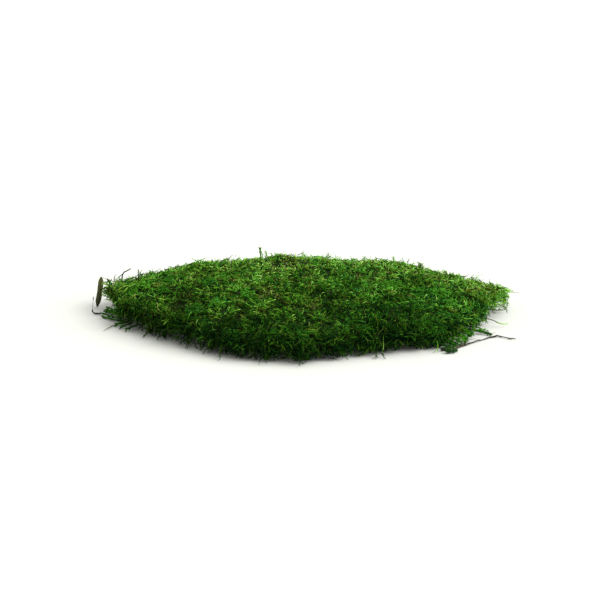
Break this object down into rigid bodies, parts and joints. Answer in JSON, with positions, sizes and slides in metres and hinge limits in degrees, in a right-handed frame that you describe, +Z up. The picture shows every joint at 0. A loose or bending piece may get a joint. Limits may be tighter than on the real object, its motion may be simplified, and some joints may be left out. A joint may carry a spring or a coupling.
{
  "type": "moss clump",
  "caption": "Low domed mat of green sheet moss with a ragged fringe and two pointed ends, lying on its flat underside as a loose piece of ground cover.",
  "frame": {"origin": "on the ground, under the middle of the mat's flat underside", "axes": "+X along the mat's length towards its right-hand point, +Y towards its back edge, +Z up"},
  "size_m": [0.3081, 0.2335, 0.0297],
  "materials": {
    "moss": "matte",
    "bark": "matte",
    "root": "matte",
    "straw": "matte"
  },
  "bodies": {
    "root": {"moss_mat": "moss", "moss_fragment": "moss", "bark_sliver": "bark", "root_left": "root", "root_right": "root", "root_branch": "root", "stalk_left": "straw"}
  },
  "joints": []
}
